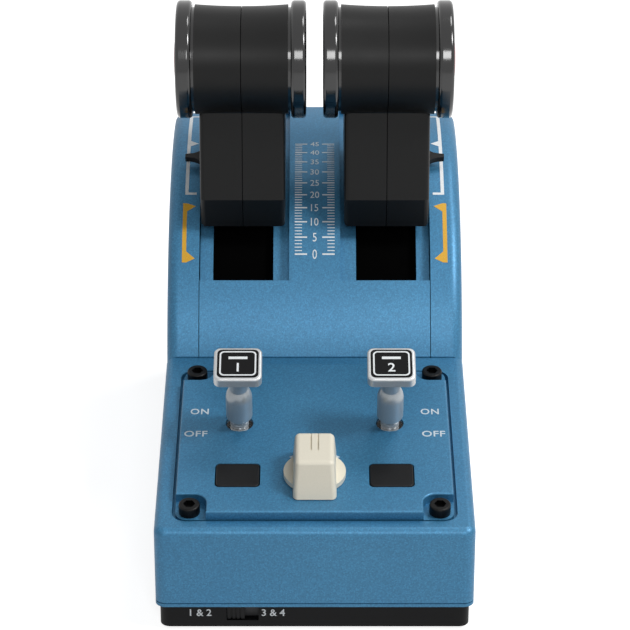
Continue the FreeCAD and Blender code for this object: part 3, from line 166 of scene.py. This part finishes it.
def textured_plastic(name, hex_code, roughness, grain=0.35, depth=0.012, specular=0.5, crest_sheen=1.35):
    """Injection-moulded ABS with a spark-eroded texture: an even fine grain that breaks up the
    highlight, with a painted sheen: the colour is a touch lighter on the grain's crests."""
    material, tree, shader = new_material(name)
    place, noise = grain_bump(tree, shader, 1 / (grain * MM), depth * MM)
    # Painted sheen: a lighter copy of the colour on the raised crests of the grain.
    light = tuple(min(c * crest_sheen, 1) for c in colour(hex_code)[:3]) + (1,)
    tint = ramp(tree, noise.outputs["Fac"], [(0.35, colour(hex_code)), (0.75, light)])
    tree.links.new(tint.outputs["Color"], shader.inputs["Base Color"])
    smear = add_node(tree, "ShaderNodeTexNoise", {"Scale": 1 / (18 * MM), "Detail": 4.0},
                     {"Vector": place.outputs["Object"]})
    rough = add_node(tree, "ShaderNodeMapRange", {"To Min": roughness - 0.05, "To Max": roughness + 0.07},
                     {"Value": smear.outputs["Fac"]})
    tree.links.new(rough.outputs["Result"], shader.inputs["Roughness"])
    shader.inputs["Specular IOR Level"].default_value = specular
    return material


def polished_plastic(name, hex_code, roughness=0.12, specular=0.5):
    """Polished ABS: a hard clear highlight, softened in faint handling smears."""
    material, tree, shader = new_material(name)
    place = add_node(tree, "ShaderNodeTexCoord")
    smear = add_node(tree, "ShaderNodeTexNoise", {"Scale": 1 / (12 * MM), "Detail": 5.0},
                     {"Vector": place.outputs["Object"]})
    rough = add_node(tree, "ShaderNodeMapRange", {"To Min": roughness, "To Max": roughness + 0.08},
                     {"Value": smear.outputs["Fac"]})
    tree.links.new(rough.outputs["Result"], shader.inputs["Roughness"])
    darker = tuple(c * 0.8 for c in colour(hex_code)[:3]) + (1,)
    tint = ramp(tree, smear.outputs["Fac"], [(0.3, darker), (0.7, colour(hex_code))])
    tree.links.new(tint.outputs["Color"], shader.inputs["Base Color"])
    shader.inputs["Specular IOR Level"].default_value = specular
    return material


def turned_metal(name, hex_code, roughness, grain=0.25, metallic=1.0):
    """Turned or drawn metal: fine tool marks that spread the highlight. Where metallic is below 1,
    it is under silver paint, which scatters light as well as reflecting it."""
    material, tree, shader = new_material(name)
    place = add_node(tree, "ShaderNodeTexCoord")
    marks = add_node(tree, "ShaderNodeTexNoise", {"Scale": 1 / (grain * MM), "Detail": 2.0},
                     {"Vector": place.outputs["Object"]})
    darker = tuple(c * 0.82 for c in colour(hex_code)[:3]) + (1,)
    tint = ramp(tree, marks.outputs["Fac"], [(0.3, darker), (0.7, colour(hex_code))])
    tree.links.new(tint.outputs["Color"], shader.inputs["Base Color"])
    rough = add_node(tree, "ShaderNodeMapRange", {"To Min": roughness - 0.04, "To Max": roughness + 0.06},
                     {"Value": marks.outputs["Fac"]})
    tree.links.new(rough.outputs["Result"], shader.inputs["Roughness"])
    bump = add_node(tree, "ShaderNodeBump", {"Distance": 0.004 * MM, "Strength": 0.5},
                    {"Height": marks.outputs["Fac"]})
    tree.links.new(bump.outputs["Normal"], shader.inputs["Normal"])
    shader.inputs["Metallic"].default_value = metallic
    return material


def printed_ink(name, hex_code):
    """Pad-printed ink, a film a few hundredths of a millimetre thick with slightly uneven cover."""
    material, tree, shader = new_material(name)
    place, noise = grain_bump(tree, shader, 1 / (0.4 * MM), 0.004 * MM)
    thin = tuple(c * 0.86 for c in colour(hex_code)[:3]) + (1,)
    cover = ramp(tree, noise.outputs["Fac"], [(0.3, thin), (0.6, colour(hex_code))])
    tree.links.new(cover.outputs["Color"], shader.inputs["Base Color"])
    shader.inputs["Roughness"].default_value = 0.5
    return material


FINISHES = {
    "blue_paint": metallic_blue_paint(),
    "black_base": textured_plastic("moulded_black_base", "060607", 0.5, specular=0.14),
    "rubber": textured_plastic("moulded_rubber", "101010", 0.8, specular=0.3),
    "screw_steel": turned_metal("zinc_plated_steel", "B9BBBD", 0.35),
    "black_screw": textured_plastic("black_oxide_steel", "060607", 0.34, grain=0.2, specular=0.16),
    "circuit_board": polished_plastic("solder_mask", "0F4D2A", 0.3),
    "switch_case": textured_plastic("moulded_nylon", "1C1C1E", 0.55),
    "chrome": turned_metal("chrome_plate", "DADCDD", 0.12),
    "socket_metal": turned_metal("nickel_plate", "B4B4B0", 0.3),
    "frame_steel": turned_metal("pressed_zinc_steel", "A8AAAC", 0.4),
    "shaft_steel": turned_metal("ground_steel", "B0B2B4", 0.25),
    "acetal": textured_plastic("moulded_acetal", "D8D6CC", 0.45),
    "ivory_knob": textured_plastic("satin_ivory_abs", "DDD7C6", 0.38, grain=0.3, depth=0.002, crest_sheen=1.05),
    "black_key": textured_plastic("satin_black_key", "0A0A0B", 0.45, specular=0.18),
    "lever_shell": textured_plastic("satin_black_shell", "0D0D0D", 0.4, grain=0.3, depth=0.008, specular=0.2),
    "lever_core": textured_plastic("glass_filled_nylon", "121213", 0.6),
    "gloss_ring": polished_plastic("polished_black_abs", "040405", 0.09, specular=0.7),
    "magnet": turned_metal("nickel_plated_magnet", "9A9A98", 0.3),
    "red_button": polished_plastic("gloss_red_abs", "A5120C", 0.18),
    "toggle_metal": turned_metal("satin_silver_paint", "A9AFB3", 0.3, metallic=0.35),
    "cap_metal": turned_metal("silver_paint", "C4C6C7", 0.35, metallic=0.6),
}
WHITE_INK = printed_ink("white_print", "E6EAEC")
YELLOW_INK = printed_ink("yellow_print", "DBA72B")
SOFT_WHITE_INK = printed_ink("pale_print", "C6D2DA")
# The caps' inlay, matt enough to stay black under the lamps. The strips that close the slots are black shutters
# drawn darker and flatter than plastic: painted shade for the dark of the slots.
BLACK_FACE = textured_plastic("black_cap_face", "060607", 0.6, specular=0.12)
SLOT_SHADE_BLACK = textured_plastic("shutter_black_painted_shade", "020202", 0.9, specular=0.02)

for entry in frame["record"]["subparts"]:
    node = frame["nodes"][entry["node"]]
    node.data.materials.clear()
    # The slot shutters get the near-black painted shade.
    shaded = entry["node"].endswith("slot_shutter")
    node.data.materials.append(SLOT_SHADE_BLACK if shaded else FINISHES[entry["material_slot"]])


# ---------------------------------------------------------------- mesh helpers
def finish_mesh(name, mesh, body, material, smooth_angle=30):
    """Turn a bmesh into a piece that rides on a body."""
    bmesh.ops.recalc_face_normals(mesh, faces=mesh.faces)
    data = bpy.data.meshes.new(name)
    mesh.to_mesh(data)
    mesh.free()
    data.materials.append(material)
    piece = bpy.data.objects.new(name, data)
    bpy.context.scene.collection.objects.link(piece)
    data.shade_smooth()
    data.set_sharp_from_angle(angle=math.radians(smooth_angle))
    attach(piece, body)
    return piece


# Print stands between these heights over the surface that it lies on.
FILM_FOOT, FILM = 0.01, 0.06


def add_film(mesh, outline, surface, film=FILM):
    """One flat printed shape: an outline in millimetres on a surface, as a closed film."""
    lower = [mesh.verts.new(surface(a, b, FILM_FOOT)) for a, b in outline]
    upper = [mesh.verts.new(surface(a, b, film)) for a, b in outline]
    mesh.faces.new(upper)
    mesh.faces.new(lower[::-1])
    count = len(outline)
    for index in range(count):
        other = (index + 1) % count
        mesh.faces.new((lower[index], lower[other], upper[other], upper[index]))


def strip(a0, a1, b0, b1):
    """A rectangle's outline."""
    return [(a0, b0), (a1, b0), (a1, b1), (a0, b1)]


def long_strip(mesh, a0, a1, b0, b1, surface, steps):
    """A strip that follows a curved surface, in one closed film."""
    rows = []
    for step in range(steps + 1):
        b = b0 + (b1 - b0) * step / steps
        rows.append([mesh.verts.new(surface(a, b, height)) for a, height in
                     ((a0, FILM_FOOT), (a1, FILM_FOOT), (a1, FILM), (a0, FILM))])
    for near, far in zip(rows, rows[1:]):
        for index in range(4):
            other = (index + 1) % 4
            mesh.faces.new((near[index], near[other], far[other], far[index]))
    mesh.faces.new(rows[0][::-1])
    mesh.faces.new(rows[-1])


def add_text(mesh, words, height, at, surface, weight=0.0, spacing=1.0, squeeze=1.0):
    """Plain lettering, centred at a place on a surface; height is that of a capital."""
    curve = bpy.data.curves.new("lettering", "FONT")
    curve.body = words
    curve.align_x = "CENTER"
    curve.align_y = "CENTER"
    curve.size = 1.0
    curve.space_character = spacing
    curve.offset = weight
    curve.resolution_u = 3
    holder = bpy.data.objects.new("lettering", curve)
    bpy.context.scene.collection.objects.link(holder)
    bpy.context.view_layer.update()
    flat = bpy.data.meshes.new_from_object(holder.evaluated_get(bpy.context.evaluated_depsgraph_get()))
    xs = [v.co.x for v in flat.vertices]
    ys = [v.co.y for v in flat.vertices]
    middle_x, middle_y = (min(xs) + max(xs)) / 2, (min(ys) + max(ys)) / 2
    scale = height / (max(ys) - min(ys))
    letter = bmesh.new()
    letter.from_mesh(flat)
    grown = bmesh.ops.extrude_face_region(letter, geom=list(letter.faces))
    tops = {v for v in grown["geom"] if isinstance(v, bmesh.types.BMVert)}
    for vert in letter.verts:
        across = at[0] + (vert.co.x - middle_x) * scale * squeeze
        along = at[1] + (vert.co.y - middle_y) * scale
        vert.co = surface(across, along, FILM if vert in tops else FILM_FOOT)
    part = bpy.data.meshes.new("letter")
    letter.to_mesh(part)
    letter.free()
    mesh.from_mesh(part)
    bpy.data.meshes.remove(part)
    bpy.data.objects.remove(holder)
    bpy.data.curves.remove(curve)


def on_crown(across, back, lift):
    return crown_point(across, back, CROWN_RADIUS, lift)


CHEEK_DROP, CHEEK_LEAN = 4.0, math.radians(20)
CHEEK_CENTRE = PIVOT + Vector((0, -math.cos(CHEEK_LEAN), math.sin(CHEEK_LEAN))) * (CHEEK_DROP * MM)


def on_cheek(across, back, lift):
    """A point on a cheek's arc, which drops below the crown towards the back."""
    radius = CROWN_RADIUS - CHEEK_DROP * MM
    reach = CHEEK_CENTRE.y - back * MM
    height = math.sqrt(max(radius * radius - reach * reach, 0))
    outward = Vector((0, -reach, height)).normalized()
    return Vector((across * MM, back * MM, CHEEK_CENTRE.z + height)) + outward * (lift * MM)


def on_panel(across, along, lift):
    return deck_point(across, along, PANEL_RISE + lift)


# ---------------------------------------------------------------- printed marks
# The lever scale: where its 0 lies and the step between fives along the frame's y, and how far across
# its marks run.
SCALE_START, SCALE_STEP, SCALE_END = 21.8, 5.43, 45
TICK_OUT, TICK_MAJOR, TICK_MINOR = 8.15, 3.1, 5.2
TICK_MAJOR_HALF, TICK_MINOR_HALF = 0.24, 0.14
DIGIT, DIGIT_SHRINK = 2.9, 0.1
# The range bars on the cheeks: their edges across, how far in their pointers and feet reach, and their
# ends in steps of the scale.
YELLOW_BAR, YELLOW_REACH, YELLOW_STEPS = (52.4, 54.1), 48.9, (-0.4, 3.5)
YELLOW_TIP, YELLOW_FLANK = 1.2, 3.4
WHITE_BAR, WHITE_REACH, WHITE_STEPS = (52.0, 53.4), 48.7, (4.2, 14.4)
WHITE_FOOT, WHITE_POINTER_STEP, WHITE_POINTER_HALF = 1.0, 9.6, 1.9


def lever_scale():
    """The lever scale on the centre strip: a mark each five with a number, four finer ones between."""
    mesh = bmesh.new()
    for count in range(SCALE_END + 1):
        back = SCALE_START + SCALE_STEP * count / 5
        major = count % 5 == 0
        inner, half = (TICK_MAJOR, TICK_MAJOR_HALF) if major else (TICK_MINOR, TICK_MINOR_HALF)
        for sign in SIDES.values():
            ends = sorted((sign * inner, sign * TICK_OUT))
            add_film(mesh, strip(*ends, back - half, back + half), on_crown)
        if major:
            add_text(mesh, str(count), DIGIT * (1 - count / SCALE_END * DIGIT_SHRINK), (0, back), on_crown)
    return finish_mesh("lever_scale_print", mesh, "housing", WHITE_INK)


def scale_place(steps):
    return SCALE_START + steps * SCALE_STEP


def cheek_marks(side, sign):
    """A yellow range bar with a pointer at each end, and a white bar with feet and a pointer behind it."""
    low, high = (scale_place(steps) for steps in YELLOW_STEPS)
    inner, reach = sign * YELLOW_BAR[0], sign * YELLOW_REACH
    mesh = bmesh.new()
    long_strip(mesh, *sorted(sign * edge for edge in YELLOW_BAR), low, high, on_cheek, 10)
    for end, inward in ((low, 1), (high, -1)):
        add_film(mesh, [(inner, end), (reach, end + inward * YELLOW_TIP), (inner, end + inward * YELLOW_FLANK)],
                 on_cheek)
    finish_mesh(f"{side}_yellow_range", mesh, "housing", YELLOW_INK)

    low, high = (scale_place(steps) for steps in WHITE_STEPS)
    inner, reach = sign * WHITE_BAR[0], sign * WHITE_REACH
    mesh = bmesh.new()
    long_strip(mesh, *sorted(sign * edge for edge in WHITE_BAR), low, high, on_cheek, 28)
    for foot_low, foot_high in ((low, low + WHITE_FOOT), (high - WHITE_FOOT, high)):
        add_film(mesh, strip(*sorted((reach, inner)), foot_low, foot_high), on_cheek)
    place = scale_place(WHITE_POINTER_STEP)
    add_film(mesh, [(inner, place - WHITE_POINTER_HALF), (reach, place), (inner, place + WHITE_POINTER_HALF)],
             on_cheek)
    finish_mesh(f"{side}_white_range", mesh, "housing", WHITE_INK)


# How far up the deck from the rotary knob the panel's print lies, and its sizes.
ROTARY_TO = {"on": 40.8, "off": 26.3, "pointer": 11.4}
PANEL_LETTER, ON_ACROSS, OFF_ACROSS = 3.7, 45, 46
POINTER_FOOT, POINTER_TIP, POINTER_HALF = 7.9, 9.7, 1.3


def panel_marks():
    """ON and OFF beside the toggles, and the rotary knob's pointers."""
    mesh = bmesh.new()
    for sign in SIDES.values():
        add_text(mesh, "ON", PANEL_LETTER, (sign * ON_ACROSS, ROTARY_TO["on"]), on_panel, weight=0.014,
                 spacing=1.1, squeeze=0.9)
        add_text(mesh, "OFF", PANEL_LETTER, (sign * OFF_ACROSS, ROTARY_TO["off"]), on_panel, weight=0.014,
                 spacing=1.05)
        tip, foot, middle = sign * POINTER_TIP, sign * POINTER_FOOT, ROTARY_TO["pointer"]
        add_film(mesh, [(tip, middle), (foot, middle + POINTER_HALF), (foot, middle - POINTER_HALF)], on_panel)
    return finish_mesh("panel_print", mesh, "housing", SOFT_WHITE_INK)


# The base strip's numbers and how far across each lies.
BASE_LETTER, BASE_NUMBERS = 3.0, (("1 & 2", -43), ("3 & 4", -15.6))


def base_marks():
    """Plain numbers each side of the slide switch."""
    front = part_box("base_tray")[0].y
    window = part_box("slide_knob")

    def on_strip(across, up, lift):
        return Vector((across * MM, front - lift * MM, up * MM))

    mesh = bmesh.new()
    middle = (window[0].z + window[1].z) / 2 / MM
    for words, across in BASE_NUMBERS:
        add_text(mesh, words, BASE_LETTER, (across, middle), on_strip, weight=0.012)
    return finish_mesh("base_print", mesh, "housing", WHITE_INK)


# ---------------------------------------------------------------- toggle cap faces
# The toggle's lean at rest and the reach from its hinge to the cap's face; then the inlay and the border
# as half width, half height and corner radius.
CAP_LEAN, CAP_REACH = math.radians(12), 34
INLAY, INLAY_FILM, CAP_INK = (7.9, 7.2, 2.0), 0.12, 0.18
BORDER_OUTER, BORDER_INNER = (7.0, 6.3, 1.8), (6.4, 5.7, 1.3)
CAP_DIGIT, CAP_DIGIT_PLACE = 4.4, (0, -2.0)
CAP_BAR = (-3.6, 3.6, 2.2, 3.5)


def round_rect(half_a, half_b, radius, steps=6):
    """A rectangle's outline with rounded corners."""
    points = []
    for corner, (a, b) in enumerate(((1, 1), (-1, 1), (-1, -1), (1, -1))):
        for step in range(steps + 1):
            angle = math.radians(90 * corner + 90 * step / steps)
            points.append((a * (half_a - radius) + radius * math.cos(angle),
                           b * (half_b - radius) + radius * math.sin(angle)))
    return points


def toggle_faces(side, sign):
    """The cap's black inlay with a white rounded outline, a bar and the engine's number."""
    joint = JOINTS[f"{side}_toggle_flip"]
    axis = Matrix.Rotation(CAP_LEAN, 3, "X") @ DECK_OUT
    up = Matrix.Rotation(CAP_LEAN, 3, "X") @ DECK_UP
    centre = Vector(joint["pos_m"]) + axis * (CAP_REACH * MM)

    def on_face(across, along, lift):
        return centre + Vector((across * MM, 0, 0)) + up * (along * MM) + axis * (lift * MM)

    def on_inlay(across, along, lift):
        return on_face(across, along, lift + INLAY_FILM)

    mesh = bmesh.new()
    add_film(mesh, round_rect(*INLAY), on_face, INLAY_FILM)
    finish_mesh(f"{side}_cap_face", mesh, f"{side}_toggle", BLACK_FACE)

    mesh = bmesh.new()
    outer, inner = round_rect(*BORDER_OUTER), round_rect(*BORDER_INNER)
    count = len(outer)
    rings = [[mesh.verts.new(on_face(a, b, lift)) for a, b in ring]
             for ring, lift in ((outer, INLAY_FILM), (outer, CAP_INK), (inner, CAP_INK), (inner, INLAY_FILM))]
    for near, far in zip(rings, rings[1:] + rings[:1]):
        for index in range(count):
            other = (index + 1) % count
            mesh.faces.new((near[index], near[other], far[other], far[index]))
    add_text(mesh, "1" if sign < 0 else "2", CAP_DIGIT, CAP_DIGIT_PLACE, on_inlay, weight=0.012)
    add_film(mesh, strip(*CAP_BAR), on_inlay)
    finish_mesh(f"{side}_cap_print", mesh, f"{side}_toggle", WHITE_INK)


lever_scale()
panel_marks()
base_marks()
for side, sign in SIDES.items():
    cheek_marks(side, sign)
    toggle_faces(side, sign)


# ---------------------------------------------------------------- camera, stage and lights
# The camera's place and target in metres, its focal length in millimetres, and its shift.
CAMERA_PLACE, CAMERA_TARGET = (0, -0.9753, 0.5445), (0, 0.0123, 0.0734)
CAMERA_LENS, CAMERA_SHIFT = 153.3, 0.0005
# The floor's half width in metres and its glow, the sky's tint and strength, and the background's white.
FLOOR_HALF, FLOOR_GLOW = 6.0, 0.86
SKY_TINT, SKY_LIGHT = (0.92, 0.96, 1.0, 1), 0.13
WHITE = (1, 1, 1, 1)
# Each lamp's place in metres, its width and height in metres, and its watts.
LAMPS = {
    "key_right": ((0.75, -0.35, 1.05), (0.35, 0.35), 11.0),
    "top_right": ((0.4, 0.3, 1.2), (0.35, 0.35), 3.6),
    "front_fill": ((0.12, -1.4, 0.95), (0.34, 0.42), 5.4),
}
LAMP_TARGET = (0, 0, 0.08)


def aim(item, target):
    item.rotation_euler = (Vector(target) - item.location).to_track_quat("-Z", "Y").to_euler()


def background_rays(tree):
    """1 for the rays that see the background: the camera's, and those off gloss and through glass."""
    path = add_node(tree, "ShaderNodeLightPath")
    glossy = add_node(tree, "ShaderNodeMath", operation="MAXIMUM",
                      links={0: path.outputs["Is Camera Ray"], 1: path.outputs["Is Glossy Ray"]})
    either = add_node(tree, "ShaderNodeMath", operation="MAXIMUM",
                      links={0: glossy.outputs[0], 1: path.outputs["Is Transmission Ray"]})
    return either.outputs[0]


def stand_camera(scene):
    lens = bpy.data.cameras.new("camera")
    lens.sensor_width = 36.0
    lens.lens = CAMERA_LENS
    lens.shift_x = CAMERA_SHIFT
    lens.clip_start = 0.05
    camera = bpy.data.objects.new("camera", lens)
    scene.collection.objects.link(camera)
    camera.location = CAMERA_PLACE
    aim(camera, CAMERA_TARGET)
    scene.camera = camera


def lay_floor(scene):
    """A pale floor that glows in the background's rays, and keeps the object's shadow."""
    corners = [(-FLOOR_HALF, -FLOOR_HALF, 0), (FLOOR_HALF, -FLOOR_HALF, 0),
               (FLOOR_HALF, FLOOR_HALF, 0), (-FLOOR_HALF, FLOOR_HALF, 0)]
    floor_mesh = bpy.data.meshes.new("floor")
    floor_mesh.from_pydata(corners, [], [(0, 1, 2, 3)])
    floor = bpy.data.objects.new("floor", floor_mesh)
    scene.collection.objects.link(floor)
    material, tree, shader = new_material("pale_floor")
    shader.inputs["Base Color"].default_value = colour("C8C8C8")
    shader.inputs["Roughness"].default_value = 1.0
    shader.inputs["Specular IOR Level"].default_value = 0.0
    pale = add_node(tree, "ShaderNodeMath", {1: FLOOR_GLOW}, {0: background_rays(tree)}, operation="MULTIPLY")
    shader.inputs["Emission Color"].default_value = WHITE
    tree.links.new(pale.outputs[0], shader.inputs["Emission Strength"])
    floor_mesh.materials.append(material)


def light_world(scene):
    """A faint sky that lights the object, and plain white where the background is seen."""
    world = bpy.data.worlds.new("studio")
    scene.world = world
    world.use_nodes = True
    tree = world.node_tree
    tree.nodes.clear()
    lit = add_node(tree, "ShaderNodeBackground", {"Color": SKY_TINT, "Strength": SKY_LIGHT})
    seen = add_node(tree, "ShaderNodeBackground", {"Color": WHITE, "Strength": 1.0})
    both = add_node(tree, "ShaderNodeMixShader",
                    links={0: background_rays(tree), 1: lit.outputs[0], 2: seen.outputs[0]})
    add_node(tree, "ShaderNodeOutputWorld", links={"Surface": both.outputs[0]})


def hang_lamps(scene):
    for name, (place, size, power) in LAMPS.items():
        light = bpy.data.lights.new(name, "AREA")
        light.shape = "RECTANGLE"
        light.size, light.size_y = size
        light.energy = power
        lamp = bpy.data.objects.new(name, light)
        scene.collection.objects.link(lamp)
        lamp.location = place
        aim(lamp, LAMP_TARGET)


def studio():
    scene = bpy.context.scene
    scene.view_settings.view_transform = "Standard"
    stand_camera(scene)
    lay_floor(scene)
    light_world(scene)
    hang_lamps(scene)


studio()
